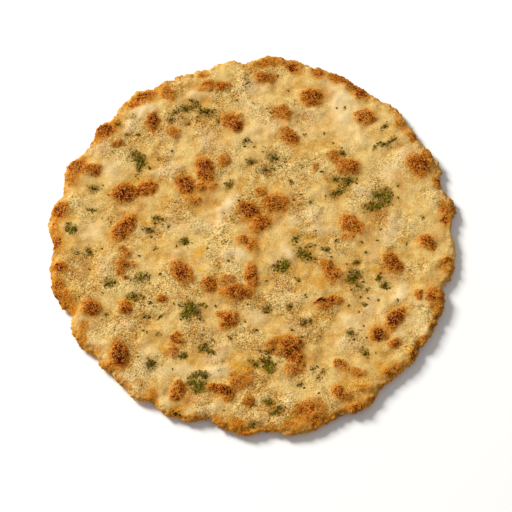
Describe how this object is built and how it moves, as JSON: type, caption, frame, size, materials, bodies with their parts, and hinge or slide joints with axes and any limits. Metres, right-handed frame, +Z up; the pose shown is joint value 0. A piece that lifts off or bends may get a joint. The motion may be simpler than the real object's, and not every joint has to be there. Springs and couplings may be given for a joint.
{
  "type": "rice flatbread",
  "caption": "Thin round hand-patted rice flatbread with a scalloped, toasted rim, browned blisters and chopped green herbs baked into the dough.",
  "frame": {"origin": "on the surface that the bread lies on, under the middle of its bounding box", "axes": "+Z up, out of the browned top face; +X to the right and +Y away from the viewer"},
  "size_m": [0.205, 0.2126, 0.0058],
  "materials": {
    "baked_dough": "matte",
    "baked_herb": "matte"
  },
  "bodies": {
    "root": {"flatbread": "baked_dough"}
  },
  "joints": []
}
